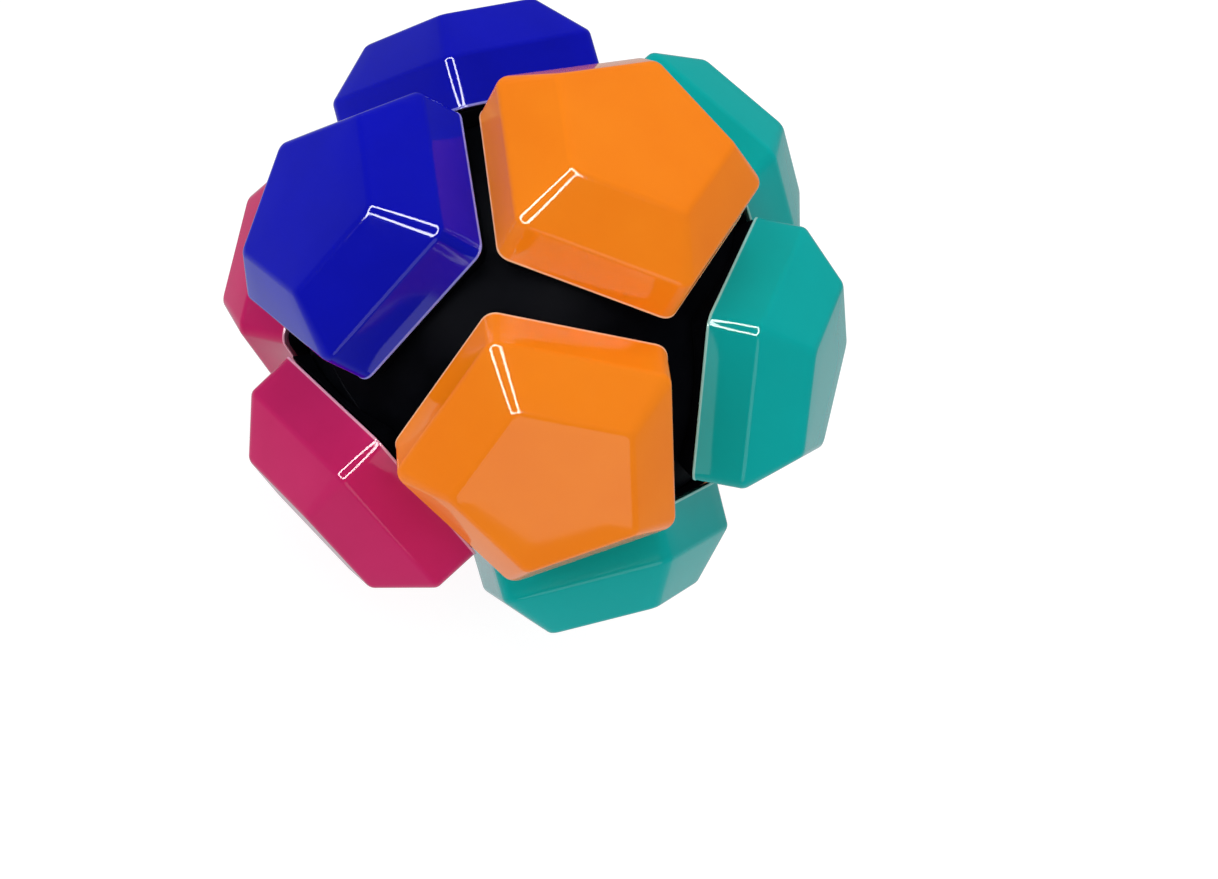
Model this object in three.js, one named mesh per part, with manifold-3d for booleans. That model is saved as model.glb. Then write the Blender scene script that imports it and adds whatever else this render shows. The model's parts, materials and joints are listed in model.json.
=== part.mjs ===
// Dodecahedron twisty puzzle: a hollow black ball that carries twelve pentagonal knobs, three in each of
// four colours, on the twelve face directions of a dodecahedron. Each knob is a hollow coloured cap on a
// black foot. A screw from inside the ball goes through a domed washer, an oversize hole in the ball and
// the foot into the cap, so a knob turns on its own axis and sways a few degrees over the ball.
// Millimetres, +Z up. The puzzle stands on the flat top of its bottom knob, and the origin is the centre of
// that flat.
import * as THREE from "three";
import { mergeVertices } from "three/addons/utils/BufferGeometryUtils.js";
import Module from "manifold-3d";

const wasm = await Module();
wasm.setup();

// Driving dimensions. Heights are distances from the ball's centre along a knob's own axis, and the radius
// of a pentagon is the distance from its centre to a corner.
const CAP_TOP = 42; // 84 mm across two opposite flat tops
const CAP_SHOULDER = 35.5;
const CAP_RIM = 28.6;
const CAP_TOP_RADIUS = 12.7;
const CAP_SHOULDER_RADIUS = 19.6;
const CAP_RIM_RADIUS = 19.7;
const CAP_WALL = 2;
const POST_RADIUS = 3.2;
const POST_END = 36.4;
const PILOT_DEPTH = 2.4;

const BALL_RADIUS = 31.2;
const BALL_WALL = 3;
const HOLE_RADIUS = 7.3; // leaves the stem room to sway 6 degrees each way
const LIP_HEIGHT = 1.6;

const GAP = 0.3; // running clearance between neighbouring pieces
const FOOT_INSET = 0.4; // how far the plate's corners stand back from the cap's
const GLIDE_STEPS = 6;
const FOOT_TOP = 33;
const FOOT_BOSS_RADIUS = 5.5;
const FOOT_BOSS_TOP = 36;
const STEM_RADIUS = 3.5;
const STEM_END = 28.8;
const BORE_RADIUS = 1.6;

const WASHER_RADIUS = 10;
const WASHER_THICKNESS = 0.9;
const SHANK_RADIUS = 1.2;
const HEAD_RADIUS = 3.4;
const HEAD_HEIGHT = 1.8;
const SOCKET_RADIUS = 1.5;
const SOCKET_DEPTH = 1.1;

const ROUND_SIDES = 12;
const BALL_SIDES = 32;
const CORNERS = 5;

// The seats. The ring angle is the angle between neighbouring face axes of a dodecahedron.
const RING_ANGLE = THREE.MathUtils.radToDeg(Math.atan(2));
const FIRST_AZIMUTH = -71;
const STEP = 360 / CORNERS;
const RINGS = {
  top: { polar: 0, azimuth: 0, corner: STEP / 2 },
  upper: { polar: RING_ANGLE, azimuth: 0, corner: 0 },
  lower: { polar: 180 - RING_ANGLE, azimuth: STEP / 2, corner: STEP / 2 },
  bottom: { polar: 180, azimuth: 0, corner: STEP / 2 },
};

// The knobs as they were last left, in degrees from the seat: [down, sideways] sway, then turn.
const KNOBS = [
  { name: "orange_top", ring: "top", place: 0, sway: [0, 0], turn: -5 },
  { name: "orange_front", ring: "upper", place: 0, sway: [3, 1], turn: 5 },
  { name: "teal_right", ring: "upper", place: 1, sway: [1, 3], turn: -5 },
  { name: "teal_back", ring: "upper", place: 2, sway: [3, 0], turn: -7 },
  { name: "blue_back", ring: "upper", place: 3, sway: [0, -1], turn: 0 },
  { name: "blue_left", ring: "upper", place: 4, sway: [-2, -5], turn: 0 },
  { name: "teal_low_front", ring: "lower", place: 0, sway: [0, -1], turn: 4 },
  { name: "orange_low_right", ring: "lower", place: 1, sway: [0, 0], turn: -2 },
  { name: "blue_low_back", ring: "lower", place: 2, sway: [0, 1], turn: -1 },
  { name: "pink_low_left", ring: "lower", place: 3, sway: [0, 1], turn: -1 },
  { name: "pink_low_front", ring: "lower", place: 4, sway: [2, -1], turn: -6 },
  { name: "pink_bottom", ring: "bottom", place: 0, sway: [0, 0], turn: -3 },
];

const COLOURS = { orange: 0xff8c1a, teal: 0x009c90, blue: 0x0a14b8, pink: 0xc42468, black: 0x08090b };

function plastic(colour) {
  return new THREE.MeshStandardMaterial({ color: COLOURS[colour], roughness: 0.18, metalness: 0 });
}

function steel() {
  return new THREE.MeshStandardMaterial({ color: 0xb8bcc2, roughness: 0.35, metalness: 1 });
}

// A profile of [radius, height] pairs turned about +Z, with a flat-sided result when there are few sides.
// The profile closes on itself or has both ends on the axis, and runs with its solid on the right.
function turned(profile, sides = ROUND_SIDES) {
  const points = profile.map(([radius, height]) => new THREE.Vector2(radius, height));
  return new THREE.LatheGeometry(points, sides).rotateX(Math.PI / 2).rotateZ(Math.PI / 2);
}

// An arc about the ball's centre as [radius, height] pairs, from one distance off the axis to another.
function arc(sphere, from, to, steps) {
  const first = Math.asin(from / sphere);
  const last = Math.asin(to / sphere);
  return Array.from({ length: steps + 1 }, (_, i) => {
    const angle = first + ((last - first) * i) / steps;
    return [sphere * Math.sin(angle), sphere * Math.cos(angle)];
  });
}

function solid(geometry) {
  const bare = geometry.clone();
  bare.deleteAttribute("normal");
  bare.deleteAttribute("uv");
  const merged = mergeVertices(bare, 1e-4);
  const made = new wasm.Manifold(
    new wasm.Mesh({
      numProp: 3,
      vertProperties: new Float32Array(merged.attributes.position.array),
      triVerts: new Uint32Array(merged.index.array),
    }),
  );
  if (made.volume() <= 0) throw new Error("a profile runs the wrong way round");
  return made;
}

function geometryOf(manifold) {
  const { vertProperties, triVerts } = manifold.getMesh();
  const geometry = new THREE.BufferGeometry();
  geometry.setAttribute("position", new THREE.Float32BufferAttribute(vertProperties, 3));
  geometry.setIndex(Array.from(triVerts));
  return geometry;
}

function node(name, geometry, material) {
  const mesh = new THREE.Mesh(geometry, material);
  mesh.name = name;
  return mesh;
}

// The cap: near-upright walls, a chamfered tier above the shoulder, a flat top, and a hollow of the same
// form with a round screw post hanging from its ceiling.
function capGeometry() {
  const inset = CAP_WALL / Math.cos(Math.PI / CORNERS);
  const ceiling = CAP_TOP - CAP_WALL;
  const shell = turned(
    [
      [0, CAP_TOP],
      [CAP_TOP_RADIUS, CAP_TOP],
      [CAP_SHOULDER_RADIUS, CAP_SHOULDER],
      [CAP_RIM_RADIUS, CAP_RIM],
      [CAP_RIM_RADIUS - inset, CAP_RIM],
      [CAP_SHOULDER_RADIUS - inset, CAP_SHOULDER - CAP_WALL / 2],
      [CAP_TOP_RADIUS - inset / 2, ceiling],
      [0, ceiling],
    ].reverse(),
    CORNERS,
  );
  const overlap = CAP_WALL / 2;
  const post = turned(
    [
      [0, POST_END + PILOT_DEPTH],
      [SHANK_RADIUS + GAP, POST_END + PILOT_DEPTH],
      [SHANK_RADIUS + GAP, POST_END],
      [POST_RADIUS, POST_END],
      [POST_RADIUS, ceiling + overlap],
      [0, ceiling + overlap],
    ],
    ROUND_SIDES,
  );
  return geometryOf(solid(shell).add(solid(post)));
}

// The foot: a pentagonal plate that fits inside the cap and under its rim, a boss that carries the cap's
// post, and a stem that goes through the hole in the ball. Its underside is hollow to glide on the ball,
// and the sides under the rim run towards the ball's centre, so that neighbours clear each other.
function footGeometry() {
  const underRim = CAP_RIM - GAP;
  const flangeRadius = CAP_RIM_RADIUS - FOOT_INSET;
  const inset = (CAP_WALL + GAP) / Math.cos(Math.PI / CORNERS);
  const plate = turned(
    [
      [0, underRim / 2],
      [flangeRadius / 2, underRim / 2],
      [flangeRadius, underRim],
      [CAP_RIM_RADIUS - inset, underRim],
      [CAP_RIM_RADIUS - inset, FOOT_TOP],
      [0, FOOT_TOP],
    ],
    CORNERS,
  );
  const glide = arc(BALL_RADIUS + GAP, 0, 0.75 * BALL_RADIUS, GLIDE_STEPS).reverse();
  glide[glide.length - 1] = [0, BALL_RADIUS + GAP];
  const hollow = turned([[0, 0], ...glide], BALL_SIDES);
  const overlap = 1;
  const boss = turned([
    [0, FOOT_TOP - overlap],
    [FOOT_BOSS_RADIUS, FOOT_TOP - overlap],
    [FOOT_BOSS_RADIUS, FOOT_BOSS_TOP],
    [0, FOOT_BOSS_TOP],
  ]);
  const stem = turned([
    [0, STEM_END],
    [STEM_RADIUS, STEM_END],
    [STEM_RADIUS, FOOT_TOP - overlap],
    [0, FOOT_TOP - overlap],
  ]);
  const bore = turned([
    [0, STEM_END - overlap],
    [BORE_RADIUS, STEM_END - overlap],
    [BORE_RADIUS, FOOT_BOSS_TOP + overlap],
    [0, FOOT_BOSS_TOP + overlap],
  ]);
  const body = solid(plate).subtract(solid(hollow)).add(solid(boss)).add(solid(stem));
  return geometryOf(body.subtract(solid(bore)));
}

// The domed washer presses outwards on the inside of the ball.
function washerGeometry() {
  const outside = arc(BALL_RADIUS - BALL_WALL - GAP, BORE_RADIUS, WASHER_RADIUS, 2);
  const inside = arc(BALL_RADIUS - BALL_WALL - GAP - WASHER_THICKNESS, BORE_RADIUS, WASHER_RADIUS, 2);
  return turned([...inside, ...outside.reverse(), inside[0]]);
}

// The screw: a flanged head with a round driving socket, under the washer, and a shank up into the post.
function screwGeometry() {
  const washerUnderside = BALL_RADIUS - BALL_WALL - GAP - WASHER_THICKNESS;
  const seat = Math.sqrt(washerUnderside ** 2 - HEAD_RADIUS ** 2) - GAP;
  const end = POST_END + PILOT_DEPTH - GAP;
  return turned([
    [0, seat - HEAD_HEIGHT + SOCKET_DEPTH],
    [SOCKET_RADIUS, seat - HEAD_HEIGHT + SOCKET_DEPTH],
    [SOCKET_RADIUS, seat - HEAD_HEIGHT],
    [HEAD_RADIUS, seat - HEAD_HEIGHT],
    [HEAD_RADIUS, seat],
    [SHANK_RADIUS, seat],
    [SHANK_RADIUS, end],
    [0, end],
  ]);
}

// A knob's own frame: its seat, then its sway from the seat, then its turn about its axis.
function frameOf(knob, atRest = true) {
  const ring = RINGS[knob.ring];
  const azimuth = FIRST_AZIMUTH + ring.azimuth + STEP * knob.place;
  const radians = THREE.MathUtils.degToRad;
  const frame = new THREE.Matrix4().makeRotationZ(radians(azimuth));
  frame.multiply(new THREE.Matrix4().makeRotationY(radians(ring.polar)));
  if (!atRest) return frame;
  const [down, sideways] = knob.sway;
  const swayAxis = new THREE.Vector3(-sideways, down, 0);
  if (swayAxis.length() > 0) {
    const angle = radians(swayAxis.length());
    frame.multiply(new THREE.Matrix4().makeRotationAxis(swayAxis.normalize(), angle));
  }
  frame.multiply(new THREE.Matrix4().makeRotationZ(radians(ring.corner + knob.turn)));
  return frame;
}

// Half of the ball, with a lip inside its edge on the lower half and outside it on the upper half, and an
// oversize round hole on each seat's axis.
function ballHalf(upper) {
  const inner = BALL_RADIUS - BALL_WALL;
  const middle = BALL_RADIUS - BALL_WALL / 2;
  const quarter = Math.PI / 2;
  const steps = BALL_SIDES / 4;
  const round = (radius, base, i) => {
    const height = base + (radius - base) * Math.sin((quarter * i) / steps);
    return [Math.sqrt(radius ** 2 - height ** 2), height];
  };
  const every = Array.from({ length: steps + 1 }, (_, i) => i);
  const outerBase = upper ? GAP / 2 : -GAP / 2;
  const lip = upper
    ? [
        [inner, LIP_HEIGHT + GAP / 2],
        [middle + GAP / 2, LIP_HEIGHT + GAP / 2],
        [middle + GAP / 2, outerBase],
      ]
    : [
        [inner, -LIP_HEIGHT],
        [inner, LIP_HEIGHT - GAP / 2],
        [middle - GAP / 2, LIP_HEIGHT - GAP / 2],
        [middle - GAP / 2, outerBase],
      ];
  const sign = upper ? 1 : -1;
  const outside = every.map((i) => round(BALL_RADIUS, GAP / 2, i)).map(([r, h]) => [r, sign * h]);
  const inside = every.map((i) => round(inner, LIP_HEIGHT + GAP / 2, i)).map(([r, h]) => [r, sign * h]);
  inside[0] = lip[0];
  outside[steps] = [0, sign * BALL_RADIUS];
  inside[steps] = [0, sign * inner];
  const profile = [...inside.reverse(), ...lip.slice(1), ...outside];
  let half = solid(turned(upper ? profile : profile.reverse(), BALL_SIDES));
  const drill = turned(
    [
      [0, inner / 2],
      [HOLE_RADIUS, inner / 2],
      [HOLE_RADIUS, CAP_TOP],
      [0, CAP_TOP],
    ],
    ROUND_SIDES,
  );
  for (const knob of KNOBS) half = half.subtract(solid(drill.clone().applyMatrix4(frameOf(knob, false))));
  return geometryOf(half);
}

const puzzle = new THREE.Group();
puzzle.position.z = CAP_TOP;
puzzle.add(node("ball_upper_half", ballHalf(true), plastic("black")));
puzzle.add(node("ball_lower_half", ballHalf(false), plastic("black")));

const cap = capGeometry();
const foot = footGeometry();
const washer = washerGeometry();
const screw = screwGeometry();
for (const knob of KNOBS) {
  const group = new THREE.Group();
  group.applyMatrix4(frameOf(knob));
  const [colour] = knob.name.split("_");
  group.add(node(`cap_${knob.name}`, cap, plastic(colour)));
  group.add(node(`foot_${knob.name}`, foot, plastic("black")));
  group.add(node(`washer_${knob.name}`, washer, steel()));
  group.add(node(`screw_${knob.name}`, screw, steel()));
  puzzle.add(group);
}

export default new THREE.Group().add(puzzle);
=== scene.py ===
import json
import math

import bmesh
import bpy
from mathutils import Matrix, Vector


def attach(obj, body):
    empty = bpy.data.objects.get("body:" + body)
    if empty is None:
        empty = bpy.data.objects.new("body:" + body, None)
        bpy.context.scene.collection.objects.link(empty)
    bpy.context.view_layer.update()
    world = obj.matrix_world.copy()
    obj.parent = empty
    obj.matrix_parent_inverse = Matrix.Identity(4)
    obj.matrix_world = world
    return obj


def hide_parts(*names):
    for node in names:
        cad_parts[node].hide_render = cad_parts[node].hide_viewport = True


# The looks of a dodecahedron twisty puzzle: twelve glossy pentagonal knobs on a smooth black ball. Every
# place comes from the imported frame: a knob's axis from its turn joint and its corners from its CAD cap.
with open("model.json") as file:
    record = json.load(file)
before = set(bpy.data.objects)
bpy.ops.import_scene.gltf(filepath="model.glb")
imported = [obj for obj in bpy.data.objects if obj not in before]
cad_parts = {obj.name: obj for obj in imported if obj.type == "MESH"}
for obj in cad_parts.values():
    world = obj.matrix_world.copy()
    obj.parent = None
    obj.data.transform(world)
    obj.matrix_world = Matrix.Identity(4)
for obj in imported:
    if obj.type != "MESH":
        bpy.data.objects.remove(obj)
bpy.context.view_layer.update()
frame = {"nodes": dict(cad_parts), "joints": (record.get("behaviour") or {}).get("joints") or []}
MM = 0.001
CORNERS = 5
STEP = 2 * math.pi / CORNERS
APOTHEM = math.cos(math.pi / CORNERS)  # a pentagon's apothem, as a share of its corner radius
JOINTS = {joint["name"]: joint for joint in frame["joints"]}
KNOBS = sorted(name[len("turn_"):] for name in JOINTS if name.startswith("turn_"))
BALL_CENTRE = Vector(JOINTS["turn_" + KNOBS[0]]["pos_m"])


# ---------------------------------------------------------------- camera

CAMERA_DISTANCE = 0.2967
CAMERA_DIRECTION = Vector((0.0093, -0.6384, 0.7697))
CAMERA_UP = Vector((-0.5137, 0.6573, 0.5514))
CAMERA_LENS = 62.9
AIM_RIGHT = 0.0355  # how far right and below the ball's centre the camera looks, as slopes
AIM_BELOW = 0.0566


def make_camera():
    """A camera held over the ball and rolled, that looks a little past it to the right and below."""
    data = bpy.data.cameras.new("camera")
    data.lens = CAMERA_LENS
    data.sensor_width = 36.0
    camera = bpy.data.objects.new("camera", data)
    bpy.context.scene.collection.objects.link(camera)
    back = CAMERA_DIRECTION.normalized()
    right = CAMERA_UP.cross(back).normalized()
    up = back.cross(right)
    facing = Matrix((right, up, back)).transposed()
    ball_in_view = Vector((-AIM_RIGHT, AIM_BELOW, -1.0)).normalized()
    aim = ball_in_view.rotation_difference(Vector((0.0, 0.0, -1.0))).to_matrix()
    place = (facing @ aim).to_4x4()
    place.translation = BALL_CENTRE + back * CAMERA_DISTANCE
    camera.matrix_world = place
    bpy.context.scene.camera = camera


# ---------------------------------------------------------------- mesh helpers

def link(name, mesh, material):
    """A new object of a mesh, in the scene and in a material."""
    piece = bpy.data.objects.new(name, mesh)
    bpy.context.scene.collection.objects.link(piece)
    mesh.materials.append(material)
    return piece


def outline(apothem, corner, side_steps, corner_steps):
    """A pentagon with rounded corners, counterclockwise, its first corner on +X. A corner radius equal
    to the apothem makes a circle, with its points evenly spaced."""
    points = []
    if apothem - corner < 1e-7:
        count = corner_steps + side_steps
        turns = [(i - corner_steps / 2) * STEP / count for i in range(CORNERS * count)]
        return [Vector((math.cos(angle), math.sin(angle))) * apothem for angle in turns]
    reach = (apothem - corner) / APOTHEM
    for k in range(CORNERS):
        centre = Vector((math.cos(k * STEP), math.sin(k * STEP))) * reach
        arc = []
        for i in range(corner_steps + 1):
            angle = (k - 0.5 + i / corner_steps) * STEP
            arc.append(centre + Vector((math.cos(angle), math.sin(angle))) * corner)
        points += arc
        following = Vector((math.cos((k + 1) * STEP), math.sin((k + 1) * STEP))) * reach
        angle = (k + 0.5) * STEP
        start, end = arc[-1], following + Vector((math.cos(angle), math.sin(angle))) * corner
        points += [start.lerp(end, i / side_steps) for i in range(1, side_steps)]
    return points


def rounded(profile, steps=5):
    """Stations (apothem, height, corner radius) along a profile whose points are (apothem, height,
    corner radius, fillet radius). A fillet radius of 0 keeps the point sharp."""
    stations = []
    for i, (across, height, corner, fillet) in enumerate(profile):
        if fillet == 0 or i in (0, len(profile) - 1):
            stations.append((across, height, corner))
            continue
        here = Vector((across, height))
        before = (Vector(profile[i - 1][:2]) - here).normalized()
        after = (Vector(profile[i + 1][:2]) - here).normalized()
        half = before.angle(after) / 2
        centre = here + (before + after).normalized() * fillet / math.sin(half)
        first = here + before * fillet / math.tan(half) - centre
        last = here + after * fillet / math.tan(half) - centre
        turn = first.angle_signed(last)
        for k in range(steps + 1):
            angle = -turn * k / steps
            x = first.x * math.cos(angle) - first.y * math.sin(angle)
            y = first.x * math.sin(angle) + first.y * math.cos(angle)
            stations.append((centre.x + x, centre.y + y, corner))
    return stations


def loft(name, stations, side_steps=6, corner_steps=6, shade=None, closed=False):
    """A mesh that sweeps an outline from the first station to the last. A fan closes each end, or if
    closed is true the last ring joins the first. shade(station number) gives each ring its share of the
    painted rim highlight, kept in a point attribute."""
    mesh = bpy.data.meshes.new(name)
    rings = [
        [(p.x, p.y, height) for p in outline(across, corner, side_steps, corner_steps)]
        for across, height, corner in stations
    ]
    count = len(rings[0])
    points = [p for ring in rings for p in ring]
    faces = []
    for r in range(len(rings) - (0 if closed else 1)):
        low, high = r * count, (r + 1) % len(rings) * count
        for k in range(count):
            n = (k + 1) % count
            faces.append((low + k, high + k, high + n, low + n))
    ends = [] if closed else [(0, 1), (len(rings) - 1, -1)]
    for ring, turn in ends:
        centre = len(points)
        points.append((0.0, 0.0, stations[ring][1]))
        for k in range(count):
            pair = (ring * count + k, ring * count + (k + 1) % count)
            faces.append((centre, *pair[::turn]))
    mesh.from_pydata(points, [], faces)
    mesh.validate()
    mesh.update()
    if shade:
        # Point attribute of the painted highlight: 1 on the rim rings that get the paler colour, 0 elsewhere.
        painted_rim_highlight = mesh.attributes.new("painted_rim_highlight", "FLOAT", "POINT")
        values = [shade(i) for i in range(len(rings)) for _ in range(count)]
        values += [shade(0), shade(len(rings) - 1)]
        painted_rim_highlight.data.foreach_set("value", values)
    smooth(mesh)
    return mesh


def smooth(mesh, angle=math.radians(32)):
    """Faces shade smooth, except across edges that turn by more than the angle."""
    for polygon in mesh.polygons:
        polygon.use_smooth = True
    form = bmesh.new()
    form.from_mesh(mesh)
    for edge in form.edges:
        edge.smooth = len(edge.link_faces) == 2 and edge.calc_face_angle(0) < angle
    form.to_mesh(mesh)
    form.free()


def on_axis(profile):
    """Round stations from a profile of (radius, height) pairs."""
    return [(radius, height, radius) for radius, height in profile]


def arc(sphere, start, end, steps):
    """(radius, height) pairs along a sphere about the ball's centre, between two distances off its axis."""
    first, last = math.asin(start / sphere), math.asin(end / sphere)
    angles = [first + (last - first) * i / steps for i in range(steps + 1)]
    return [(sphere * math.sin(a), sphere * math.cos(a)) for a in angles]


# ---------------------------------------------------------------- frames and sizes from the CAD

def knob_frame(knob):
    """The knob's own frame at rest: the ball's centre, its axis along +Z and a corner of its cap on +X."""
    axis = Vector(JOINTS["turn_" + knob]["axis"]).normalized()
    cap = frame["nodes"]["cap_" + knob].data
    across = [v.co - BALL_CENTRE - axis * (v.co - BALL_CENTRE).dot(axis) for v in cap.vertices]
    corner = max(across, key=lambda v: v.length).normalized()
    place = Matrix((corner, axis.cross(corner), axis)).transposed().to_4x4()
    place.translation = BALL_CENTRE
    return place


def profile_of(node, place):
    """The widest corner radius of a CAD node at each of its heights in a knob's frame, keyed by height."""
    widest = {}
    inverse = place.inverted()
    for vertex in frame["nodes"][node].data.vertices:
        local = inverse @ vertex.co
        height = round(local.z, 5)
        widest[height] = max(widest.get(height, 0.0), math.hypot(local.x, local.y))
    return widest


PLACES = {knob: knob_frame(knob) for knob in KNOBS}
CAP = profile_of("cap_" + KNOBS[0], PLACES[KNOBS[0]])
BOSS_TOP = max(profile_of("foot_" + KNOBS[0], PLACES[KNOBS[0]]))
CAP_TOP = max(CAP)
CAP_RIM = min(CAP)
CAP_SHOULDER = max(height for height in CAP if CAP[height] > 0.98 * CAP[CAP_RIM])
BALL_POINTS = [v.co for v in frame["nodes"]["ball_upper_half"].data.vertices]
BALL_RADIUS = max((p - BALL_CENTRE).length for p in BALL_POINTS)

# Sizes of what the caps hide, the same as in the CAD.
BALL_WALL = 3.0 * MM
CAP_WALL = 2.0 * MM
POST_RADIUS = 3.2 * MM
POST_END = CAP_RIM + 7.8 * MM
PILOT_RADIUS = 1.5 * MM
PILOT_DEPTH = 2.4 * MM
CLEARANCE = 0.3 * MM
FOOT_INSET = 0.4 * MM
BOSS_RADIUS = 5.5 * MM
BOSS_HEIGHT = 3.0 * MM
STEM_RADIUS = 3.5 * MM
STEM_END = 28.8 * MM
BORE_RADIUS = 1.6 * MM
WASHER_RADIUS = 10.0 * MM
WASHER_THICKNESS = 0.9 * MM
HEAD_RADIUS = 3.4 * MM
HEAD_HEIGHT = 1.8 * MM
SOCKET_RADIUS = 1.5 * MM
SOCKET_DEPTH = 1.1 * MM
SHANK_RADIUS = 1.2 * MM
HOLE_RADIUS = 7.3 * MM
FIRST_HOLE = math.radians(-71)  # azimuth of the first hole in the ball's upper ring

# Corner radii of the knob's pentagonal outlines, and its soft edges.
TOP_CORNER = 1.3 * MM
RIM_CORNER = 2.0 * MM
INNER_CORNER = 1.2 * MM
FLANGE_CORNER = 2.2 * MM
TOP_FILLET = 1.35 * MM
SHOULDER_FILLET = 1.5 * MM
CEILING_FILLET = 0.8 * MM
PAINTED_HIGHLIGHT_HEIGHT = 0.34 * MM  # how far the painted highlight along the rim reaches up from the rim's bottom edge


# ---------------------------------------------------------------- materials

def new_material(name):
    """A material with its nodes, its links and its shader."""
    material = bpy.data.materials.new(name)
    material.use_nodes = True
    nodes = material.node_tree.nodes
    return material, nodes, material.node_tree.links, nodes["Principled BSDF"]


def noise(nodes, links, scale, detail=3.0, roughness=0.55):
    """Noise in the object's own coordinates, with scale in features per metre."""
    where = nodes.new("ShaderNodeTexCoord")
    texture = nodes.new("ShaderNodeTexNoise")
    texture.inputs["Scale"].default_value = scale
    texture.inputs["Detail"].default_value = detail
    texture.inputs["Roughness"].default_value = roughness
    links.new(where.outputs["Object"], texture.inputs["Vector"])
    return texture.outputs["Fac"]


def spread(nodes, links, value, low, high, source=(0.3, 0.7)):
    """Maps a value from the source range, which suits noise, to low and high."""
    ranged = nodes.new("ShaderNodeMapRange")
    ranged.inputs["From Min"].default_value = source[0]
    ranged.inputs["From Max"].default_value = source[1]
    ranged.inputs["To Min"].default_value = low
    ranged.inputs["To Max"].default_value = high
    links.new(value, ranged.inputs["Value"])
    return ranged.outputs["Result"]


def mixed(nodes, links, share, low, high):
    """Mixes two colours, each a constant or a socket, by a share."""
    mix = nodes.new("ShaderNodeMix")
    mix.data_type = "RGBA"
    for socket, value in ((mix.inputs["A"], low), (mix.inputs["B"], high)):
        if isinstance(value, tuple):
            socket.default_value = value
        else:
            links.new(value, socket)
    links.new(share, mix.inputs["Factor"])
    return mix.outputs["Result"]


def bumps(nodes, links, shader, heights):
    """Chains bump nodes, one for each (height source, distance in metres, strength)."""
    normal = None
    for height, distance, strength in heights:
        bump = nodes.new("ShaderNodeBump")
        bump.inputs["Distance"].default_value = distance
        bump.inputs["Strength"].default_value = strength
        links.new(height, bump.inputs["Height"])
        if normal:
            links.new(normal, bump.inputs["Normal"])
        normal = bump.outputs["Normal"]
    links.new(normal, shader.inputs["Normal"])


def glossy_plastic(name, colour, deep, pale, roughness):
    """Polished moulded plastic: a faint cloudiness in the colour, a painted highlight as a paler band along
    the rim's rounded bottom edge, a mould's slight ripple and the finest dust and handling marks in its
    gloss."""
    material, nodes, links, shader = new_material(name)
    cloud = spread(nodes, links, noise(nodes, links, 45.0, 4.0), 0.0, 1.0)
    body = mixed(nodes, links, cloud, deep, colour)
    # Painted highlight: the pale colour is mixed in along the cap's rim, standing in for the glint on its
    # rounded bottom edge.
    painted_rim_highlight = nodes.new("ShaderNodeAttribute")
    painted_rim_highlight.attribute_name = "painted_rim_highlight"
    links.new(mixed(nodes, links, painted_rim_highlight.outputs["Fac"], body, pale), shader.inputs["Base Color"])
    haze = noise(nodes, links, 320.0, 5.0)
    links.new(spread(nodes, links, haze, roughness * 0.8, roughness * 1.3), shader.inputs["Roughness"])
    shader.inputs["IOR"].default_value = 1.5
    shader.inputs["Specular IOR Level"].default_value = 0.15
    shader.inputs["Coat Weight"].default_value = 0.25
    shader.inputs["Coat Roughness"].default_value = 0.05
    ripple = noise(nodes, links, 90.0, 1.0)
    peel = noise(nodes, links, 1400.0, 2.0)
    bumps(nodes, links, shader, ((ripple, 0.05 * MM, 0.35), (peel, 0.004 * MM, 0.25)))
    return material


def satin_black(name, roughness=0.42):
    """Black moulded plastic with a soft sheen, faint rub marks and a fine moulded grain."""
    material, nodes, links, shader = new_material(name)
    rub = spread(nodes, links, noise(nodes, links, 130.0, 6.0, 0.65), 0.0, 1.0)
    dark, light = (0.0008, 0.0009, 0.0016, 1.0), (0.0020, 0.0023, 0.0036, 1.0)
    links.new(mixed(nodes, links, rub, dark, light), shader.inputs["Base Color"])
    gloss = noise(nodes, links, 260.0, 4.0)
    links.new(spread(nodes, links, gloss, roughness * 0.8, roughness * 1.25), shader.inputs["Roughness"])
    shader.inputs["Specular IOR Level"].default_value = 0.004
    grain = noise(nodes, links, 2200.0, 2.0)
    bumps(nodes, links, shader, ((grain, 0.004 * MM, 0.3),))
    return material


def plated_steel(name, colour, roughness):
    """Steel with turning marks round its axis and slightly uneven plating."""
    material, nodes, links, shader = new_material(name)
    dark = tuple(c * 0.72 for c in colour[:3]) + (1.0,)
    patch = spread(nodes, links, noise(nodes, links, 420.0, 4.0), 0.0, 1.0)
    links.new(mixed(nodes, links, patch, dark, colour), shader.inputs["Base Color"])
    shader.inputs["Metallic"].default_value = 1.0
    fine = noise(nodes, links, 1500.0, 3.0)
    links.new(spread(nodes, links, fine, roughness * 0.7, roughness * 1.4), shader.inputs["Roughness"])
    bumps(nodes, links, shader, ((fine, 0.006 * MM, 0.3),))
    return material


def floor_material():
    """A pale matt floor, with a glow that lifts it to white."""
    material, nodes, links, shader = new_material("pale_floor")
    mottle = spread(nodes, links, noise(nodes, links, 6.0, 5.0), 0.0, 1.0)
    low, high = (0.19, 0.19, 0.19, 1.0), (0.21, 0.21, 0.21, 1.0)
    links.new(mixed(nodes, links, mottle, low, high), shader.inputs["Base Color"])
    shader.inputs["Roughness"].default_value = 0.8
    shader.inputs["Specular IOR Level"].default_value = 0.0
    shader.inputs["Emission Color"].default_value = (1.0, 1.0, 1.0, 1.0)
    shader.inputs["Emission Strength"].default_value = 0.9
    return material


# Each pale colour is the painted highlight along the cap's rim.
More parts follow.
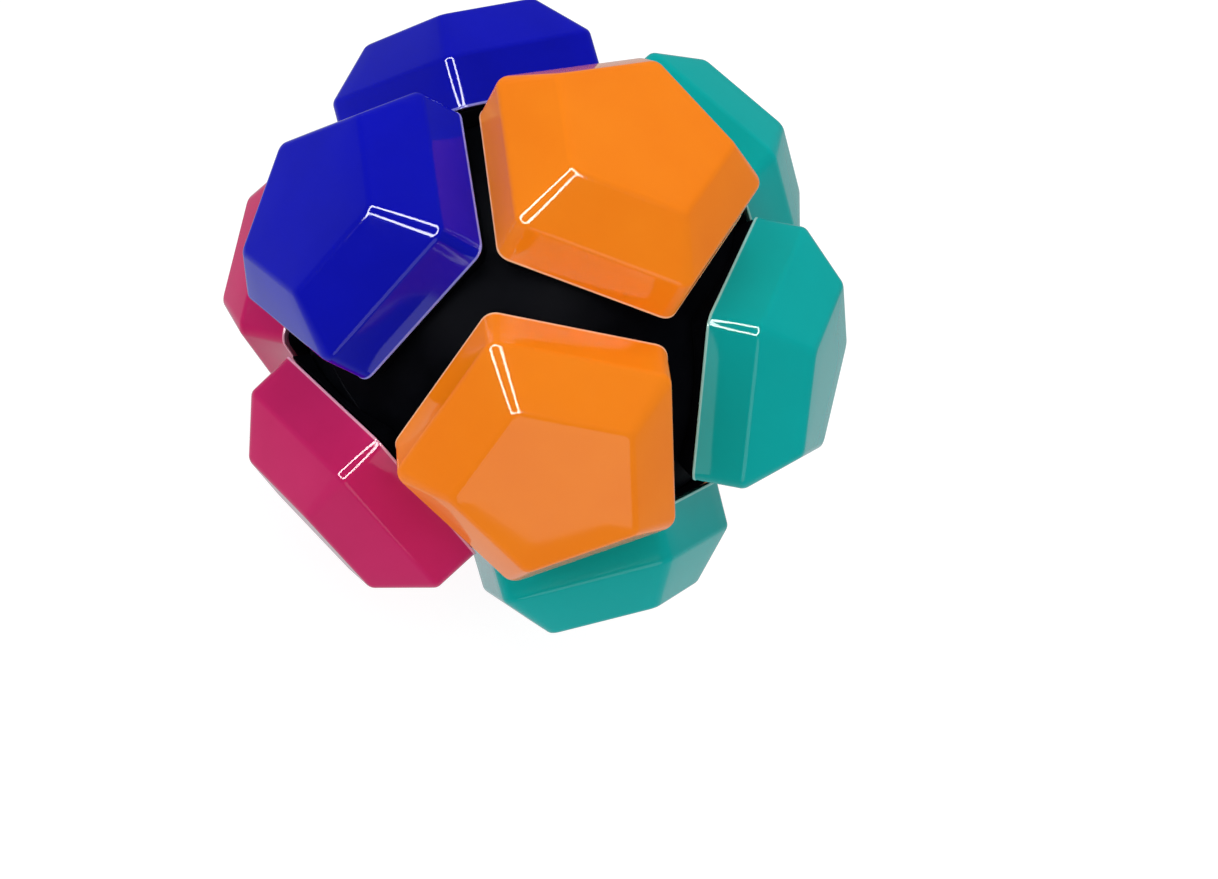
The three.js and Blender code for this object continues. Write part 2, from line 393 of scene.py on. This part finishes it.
MATERIALS = {
    "orange": glossy_plastic(
        "orange_plastic",
        colour=(0.95, 0.245, 0.009, 1.0),
        deep=(0.90, 0.205, 0.006, 1.0),
        pale=(0.98, 0.54, 0.30, 1.0),
        roughness=0.075,
    ),
    "teal": glossy_plastic(
        "teal_plastic",
        colour=(0.0004, 0.39, 0.375, 1.0),
        deep=(0.0003, 0.355, 0.335, 1.0),
        pale=(0.34, 0.66, 0.60, 1.0),
        roughness=0.075,
    ),
    "blue": glossy_plastic(
        "blue_plastic",
        colour=(0.0012, 0.003, 0.45, 1.0),
        deep=(0.001, 0.0025, 0.36, 1.0),
        pale=(0.28, 0.28, 0.74, 1.0),
        roughness=0.075,
    ),
    "pink": glossy_plastic(
        "pink_plastic",
        colour=(0.58, 0.016, 0.130, 1.0),
        deep=(0.51, 0.011, 0.105, 1.0),
        pale=(0.85, 0.40, 0.53, 1.0),
        roughness=0.075,
    ),
    "ball": satin_black("ball_plastic"),
    "foot": satin_black("foot_plastic", 0.5),
    "washer": plated_steel("washer_steel", (0.62, 0.63, 0.66, 1.0), 0.3),
    "screw": plated_steel("screw_steel", (0.70, 0.68, 0.62, 1.0), 0.24),
}


# ---------------------------------------------------------------- pieces

def settle(piece, knob, body, node, slot):
    """Puts a piece built in a knob's own frame in place, on its body, instead of its CAD node. The place
    goes into the mesh, so that the piece's box is its true one."""
    piece.data.transform(PLACES[knob])
    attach(piece, body + "_" + knob)
    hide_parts(node)


def cap_mesh():
    """A cap: flat top, chamfered tier and near-upright wall with soft ridges, a thin paler rim that is a
    painted highlight, and inside it a ceiling and a screw post."""
    top, shoulder, rim = CAP[CAP_TOP], CAP[CAP_SHOULDER], CAP[CAP_RIM]
    ceiling = CAP_TOP - CAP_WALL
    inner = [a * APOTHEM - CAP_WALL for a in (rim, shoulder)]
    lip = 0.1 * MM
    outside = rounded(
        [
            (0.6 * MM, CAP_TOP, 0.1 * MM, 0),
            (top * APOTHEM * 0.5, CAP_TOP, TOP_CORNER, 0),
            (top * APOTHEM, CAP_TOP, TOP_CORNER, TOP_FILLET),
            (shoulder * APOTHEM - lip, CAP_SHOULDER, RIM_CORNER, SHOULDER_FILLET),
            (rim * APOTHEM - lip, CAP_RIM + 0.42 * MM, RIM_CORNER - lip, 0),
            (rim * APOTHEM, CAP_RIM + 0.26 * MM, RIM_CORNER, 0.08 * MM),
            (rim * APOTHEM, CAP_RIM, RIM_CORNER, 0.1 * MM),
            (inner[0], CAP_RIM, INNER_CORNER, 0),
        ],
        steps=7,
    )
    inside = rounded(
        [
            (inner[0], CAP_RIM, INNER_CORNER, 0),
            (inner[0], CAP_RIM + 0.4 * MM, INNER_CORNER, 0),
            (inner[1], CAP_SHOULDER - CAP_WALL / 2, INNER_CORNER, CEILING_FILLET),
            (top * APOTHEM - CAP_WALL / 2, ceiling, INNER_CORNER, CEILING_FILLET),
            (POST_RADIUS * 1.6, ceiling, POST_RADIUS * 1.6, 0),
        ],
        steps=4,
    )
    post = on_axis(
        [
            (POST_RADIUS, ceiling - 0.3 * MM),
            (POST_RADIUS, POST_END + 0.2 * MM),
            (POST_RADIUS - 0.2 * MM, POST_END),
            (PILOT_RADIUS + 0.2 * MM, POST_END),
            (PILOT_RADIUS, POST_END + 0.2 * MM),
            (PILOT_RADIUS, POST_END + PILOT_DEPTH - 0.1 * MM),
            (0.3 * MM, POST_END + PILOT_DEPTH),
        ]
    )
    stations = outside + inside[1:] + post

    # The outside rings low on the wall carry the painted highlight along the rim.
    def shade(number):
        on_outside = number < len(outside)
        return 1.0 if on_outside and stations[number][1] < CAP_RIM + PAINTED_HIGHLIGHT_HEIGHT else 0.0

    return loft("cap", stations, shade=shade)


def foot_mesh():
    """A foot: a pentagonal plate that fits inside the cap and under its rim, with a hollow underside that
    follows the ball, a boss above it and a stem below it, all drilled."""
    under_rim = CAP_RIM - CLEARANCE
    flange = (CAP[CAP_RIM] - FOOT_INSET) * APOTHEM
    inner = CAP[CAP_RIM] * APOTHEM - CAP_WALL - CLEARANCE
    boss_base = BOSS_TOP - BOSS_HEIGHT
    glide_radius = BALL_RADIUS + CLEARANCE
    stem_top = math.sqrt(glide_radius ** 2 - STEM_RADIUS ** 2)
    chamfer = 0.3 * MM
    boss = on_axis(
        [
            (BORE_RADIUS, BOSS_TOP),
            (BOSS_RADIUS - chamfer, BOSS_TOP),
            (BOSS_RADIUS, BOSS_TOP - chamfer),
            (BOSS_RADIUS, boss_base + 0.4 * MM),
            (BOSS_RADIUS + 0.4 * MM, boss_base),
        ]
    )
    plate = [
        (inner - chamfer, boss_base, INNER_CORNER),
        (inner, boss_base - chamfer, INNER_CORNER),
        (inner, under_rim, INNER_CORNER),
        (flange - 0.15 * MM, under_rim, FLANGE_CORNER),
        (flange, under_rim - 0.15 * MM, FLANGE_CORNER),
    ]
    upper = boss + plate
    shares = [1.0 - i / 16 for i in range(12)]
    glide = [(flange * share, under_rim, FLANGE_CORNER * share) for share in shares]
    stem = on_axis(
        [
            (STEM_RADIUS, stem_top),
            (STEM_RADIUS, STEM_END + chamfer),
            (STEM_RADIUS - chamfer, STEM_END),
            (BORE_RADIUS, STEM_END),
        ]
    )
    stations = upper + glide + stem
    mesh = loft("foot", stations, closed=True)
    # Each glide ring is the plate's edge carried onto the sphere that clears the ball, drawn in by its share.
    count = len(mesh.vertices) // len(stations)
    for ring, share in enumerate(shares, len(upper)):
        for vertex in mesh.vertices[ring * count : (ring + 1) * count]:
            edge = Vector((vertex.co.x / share, vertex.co.y / share, under_rim))
            x, y, _ = edge * (glide_radius / edge.length * share)
            vertex.co = (x, y, math.sqrt(glide_radius ** 2 - x * x - y * y))
    mesh.update()
    smooth(mesh)
    return mesh


def ring_mesh(name, profile, segments=72):
    """A closed solid of revolution with a hole, from (radius, height) pairs that go once round it."""
    form = bmesh.new()
    rings = []
    for k in range(segments):
        turn = 2 * math.pi * k / segments
        rings.append([form.verts.new((r * math.cos(turn), r * math.sin(turn), h)) for r, h in profile])
    for k in range(segments):
        one, two = rings[k], rings[(k + 1) % segments]
        for i in range(len(profile)):
            j = (i + 1) % len(profile)
            form.faces.new((one[i], one[j], two[j], two[i]))
    bmesh.ops.recalc_face_normals(form, faces=form.faces)
    mesh = bpy.data.meshes.new(name)
    form.to_mesh(mesh)
    form.free()
    smooth(mesh)
    return mesh


def washer_mesh():
    """A domed washer, a clearance inside the ball's inner wall."""
    outer = BALL_RADIUS - BALL_WALL - CLEARANCE
    outside = arc(outer, BORE_RADIUS, WASHER_RADIUS, 10)
    inside = arc(outer - WASHER_THICKNESS, BORE_RADIUS, WASHER_RADIUS, 10)
    return ring_mesh("washer", outside + inside[::-1])


def screw_mesh():
    """A screw with a flanged head, a round driving socket and ridges for its thread."""
    under = BALL_RADIUS - BALL_WALL - CLEARANCE - WASHER_THICKNESS
    seat = math.sqrt(under ** 2 - HEAD_RADIUS ** 2) - CLEARANCE
    base = seat - HEAD_HEIGHT
    tip = POST_END + PILOT_DEPTH - CLEARANCE
    pitch, depth = 0.6 * MM, 0.14 * MM
    thread = []
    height = seat + pitch
    while height + pitch < tip - 0.4 * MM:
        thread += [(SHANK_RADIUS - depth, height), (SHANK_RADIUS, height + pitch / 2)]
        height += pitch
    edge = 0.1 * MM
    profile = [
        (0.2 * MM, base + SOCKET_DEPTH),
        (SOCKET_RADIUS - edge, base + SOCKET_DEPTH),
        (SOCKET_RADIUS, base + SOCKET_DEPTH - edge),
        (SOCKET_RADIUS, base + edge),
        (SOCKET_RADIUS + edge, base),
        (HEAD_RADIUS - 0.9 * MM, base),
        (HEAD_RADIUS - 0.4 * MM, base + 0.3 * MM),
        (HEAD_RADIUS, base + 1.1 * MM),
        (HEAD_RADIUS, seat),
        (SHANK_RADIUS, seat),
        *thread,
        (SHANK_RADIUS - depth, tip - 0.3 * MM),
        (0.3 * MM, tip),
    ]
    mesh = loft("screw", on_axis(profile), side_steps=4, corner_steps=4)
    mesh.flip_normals()
    return mesh


def seats():
    """The twelve face directions of the dodecahedron that the ball is drilled on: the top, the bottom and
    two rings of five."""
    ring_angle = math.atan(2)
    across, up = math.sin(ring_angle), math.cos(ring_angle)
    found = [Vector((0, 0, 1)), Vector((0, 0, -1))]
    for k in range(CORNERS):
        for sign, offset in ((1, 0.0), (-1, STEP / 2)):
            turn = FIRST_HOLE + offset + k * STEP
            found.append(Vector((across * math.cos(turn), across * math.sin(turn), sign * up)))
    return found


def drills():
    """One mesh of all the drills that cut the holes in the ball."""
    form = bmesh.new()
    for seat in seats():
        place = seat.to_track_quat("Z", "Y").to_matrix().to_4x4()
        place.translation = seat * BALL_RADIUS
        bmesh.ops.create_cone(
            form,
            cap_ends=True,
            segments=64,
            radius1=HOLE_RADIUS,
            radius2=HOLE_RADIUS,
            depth=BALL_RADIUS,
            matrix=place,
        )
    mesh = bpy.data.meshes.new("drills")
    form.to_mesh(mesh)
    form.free()
    cutter = bpy.data.objects.new("drills", mesh)
    bpy.context.scene.collection.objects.link(cutter)
    return cutter


def ball_half(name, sign, cutter):
    """Half of the ball's shell, with a lip joint at its edge and a hole at each seat."""
    inner, middle = BALL_RADIUS - BALL_WALL, BALL_RADIUS - BALL_WALL / 2
    gap, chamfer, lip = 0.05 * MM, 0.12 * MM, 1.3 * MM
    steps = 48
    outer_edge = math.asin((gap + chamfer) / BALL_RADIUS)
    inner_edge = math.asin(2 * lip / inner)

    def quarter(radius, start):
        angles = [start + (math.pi / 2 - start) * i / steps for i in range(steps)]
        return [(radius * math.cos(a), radius * math.sin(a)) for a in angles]

    edge = [(BALL_RADIUS - chamfer, gap)]
    if sign > 0:
        edge += [(middle + gap, gap), (middle + gap, lip + gap), (inner, lip + gap)]
    else:
        edge += [(middle - gap, gap), (middle - gap, -lip), (inner, -lip)]
    outside = quarter(BALL_RADIUS, outer_edge)
    inside = quarter(inner, inner_edge)
    profile = outside[::-1] + edge + inside
    stations = on_axis([(0.2 * MM, BALL_RADIUS), *profile, (0.2 * MM, inner)])
    mesh = loft(name, stations, side_steps=14, corner_steps=14)
    if sign < 0:
        mesh.transform(Matrix.Scale(-1, 4, (0, 0, 1)))
        mesh.flip_normals()
    piece = link(name + "_shell", mesh, MATERIALS["ball"])
    cut = piece.modifiers.new("holes", "BOOLEAN")
    cut.operation = "DIFFERENCE"
    cut.solver = "EXACT"
    cut.object = cutter
    bpy.context.view_layer.update()
    graph = bpy.context.evaluated_depsgraph_get()
    finished = bpy.data.meshes.new_from_object(piece.evaluated_get(graph))
    piece.modifiers.clear()
    piece.data = finished
    smooth(finished)
    finished.transform(Matrix.Translation(BALL_CENTRE))
    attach(piece, "root")
    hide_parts(name)


def make_ball():
    """Both halves of the ball, cut by the same drills."""
    cutter = drills()
    ball_half("ball_upper_half", 1, cutter)
    ball_half("ball_lower_half", -1, cutter)
    bpy.data.objects.remove(cutter)


def make_knobs():
    """Every knob's cap, foot, washer and screw, each a copy of one form."""
    cap, foot, washer, screw = cap_mesh(), foot_mesh(), washer_mesh(), screw_mesh()
    for knob in KNOBS:
        colour = knob.split("_")[0]
        pieces = (
            ("cap", cap, MATERIALS[colour], "knob", colour + "_plastic"),
            ("foot", foot, MATERIALS["foot"], "knob", "black_plastic"),
            ("washer", washer, MATERIALS["washer"], "carriage", "washer_steel"),
            ("screw", screw, MATERIALS["screw"], "knob", "screw_steel"),
        )
        for kind, mesh, material, body, slot in pieces:
            piece = link(f"{kind}_{knob}_form", mesh.copy(), material)
            settle(piece, knob, body, f"{kind}_{knob}", slot)


# ---------------------------------------------------------------- stage

FLOOR_SIZE = 6.0
BACKDROP_RADIUS = 2.9
LIGHT_DISTANCE = 1.0
SOFT_LIGHT_SIZE = 1.2
PANEL_SIZE = 0.55
RING_DIRECTION = Vector((-0.349, -0.508, 0.787)).normalized()
RING_DISTANCE = 0.6
RING_INNER = 0.23
RING_OUTER = 0.385
RING_STRENGTH = 38.0


def make_floor():
    """A pale floor just under the puzzle, left out of reflections."""
    bpy.ops.mesh.primitive_plane_add(size=FLOOR_SIZE, location=(0, 0, -0.2 * MM))
    floor = bpy.context.object
    floor.name = "floor"
    floor.data.materials.append(floor_material())
    floor.visible_glossy = False


def glow_material(name, strength):
    """A surface that only glows."""
    material, _, _, shader = new_material(name)
    shader.inputs["Base Color"].default_value = (0.0, 0.0, 0.0, 1.0)
    shader.inputs["Specular IOR Level"].default_value = 0.0
    shader.inputs["Emission Color"].default_value = (1.0, 1.0, 1.0, 1.0)
    shader.inputs["Emission Strength"].default_value = strength
    return material


def make_backdrop():
    """A pale dome that stands behind the floor in every view and lights nothing."""
    bpy.ops.mesh.primitive_uv_sphere_add(radius=BACKDROP_RADIUS, segments=48, ring_count=24)
    dome = bpy.context.object
    dome.name = "backdrop"
    dome.data.materials.append(glow_material("backdrop_glow", 0.93))
    dome.visible_diffuse = False
    dome.visible_glossy = False
    dome.visible_shadow = False


def area_light(name, direction, size, power):
    """A round soft light that faces the ball's centre."""
    data = bpy.data.lights.new(name, "AREA")
    data.shape = "DISK"
    data.size = size
    data.energy = power
    light = bpy.data.objects.new(name, data)
    bpy.context.scene.collection.objects.link(light)
    towards = Vector(direction).normalized()
    light.location = BALL_CENTRE + towards * LIGHT_DISTANCE
    light.rotation_mode = "QUATERNION"
    light.rotation_quaternion = towards.to_track_quat("Z", "Y")
    return light


def ring_light(segments=64):
    """A flat glowing ring whose reflection runs along both sides of the ridges that point at it. It is
    seen only in reflections."""
    points, faces = [], []
    for k in range(segments):
        turn = 2 * math.pi * k / segments
        for radius in (RING_INNER, RING_OUTER):
            points.append((radius * math.cos(turn), radius * math.sin(turn), 0.0))
        n = (k + 1) % segments
        faces.append((2 * k, 2 * k + 1, 2 * n + 1, 2 * n))
    mesh = bpy.data.meshes.new("ring_light")
    mesh.from_pydata(points, [], faces)
    ring = link("ring_light", mesh, glow_material("ring_glow", RING_STRENGTH))
    ring.location = BALL_CENTRE + RING_DIRECTION * RING_DISTANCE
    ring.rotation_mode = "QUATERNION"
    ring.rotation_quaternion = RING_DIRECTION.to_track_quat("Z", "Y")
    ring.visible_camera = False
    ring.visible_diffuse = False
    ring.visible_shadow = False


def make_world():
    """A dim cool surround, brighter far below the horizon, where only reflections see it."""
    world = bpy.data.worlds.new("studio")
    bpy.context.scene.world = world
    world.use_nodes = True
    nodes, links = world.node_tree.nodes, world.node_tree.links
    background = nodes["Background"]
    background.inputs["Color"].default_value = (0.93, 0.97, 1.0, 1.0)
    where = nodes.new("ShaderNodeTexCoord")
    parts = nodes.new("ShaderNodeSeparateXYZ")
    links.new(where.outputs["Generated"], parts.inputs["Vector"])
    strength = spread(nodes, links, parts.outputs["Z"], 0.55, 0.18, source=(-0.7, -0.15))
    links.new(strength, background.inputs["Strength"])


def make_lights():
    """Four soft lights that leave no reflection, and a panel and a ring that give reflections only."""
    for name, direction, power in (
        ("overhead", (0.1, -0.1, 1.0), 4.4),
        ("left", (-0.75, -0.45, 0.5), 5.0),
        ("right", (0.85, -0.25, 0.45), 3.3),
        ("back", (-0.3, 0.75, 0.55), 6.0),
    ):
        area_light(name, direction, SOFT_LIGHT_SIZE, power).visible_glossy = False
    area_light("front_panel", (0.5, -0.85, 0.08), PANEL_SIZE, 1.15).visible_diffuse = False
    ring_light()


make_camera()
make_ball()
make_knobs()
make_floor()
make_backdrop()
make_world()
make_lights()
bpy.context.scene.view_settings.view_transform = "Standard"
bpy.context.scene.view_settings.look = "None"
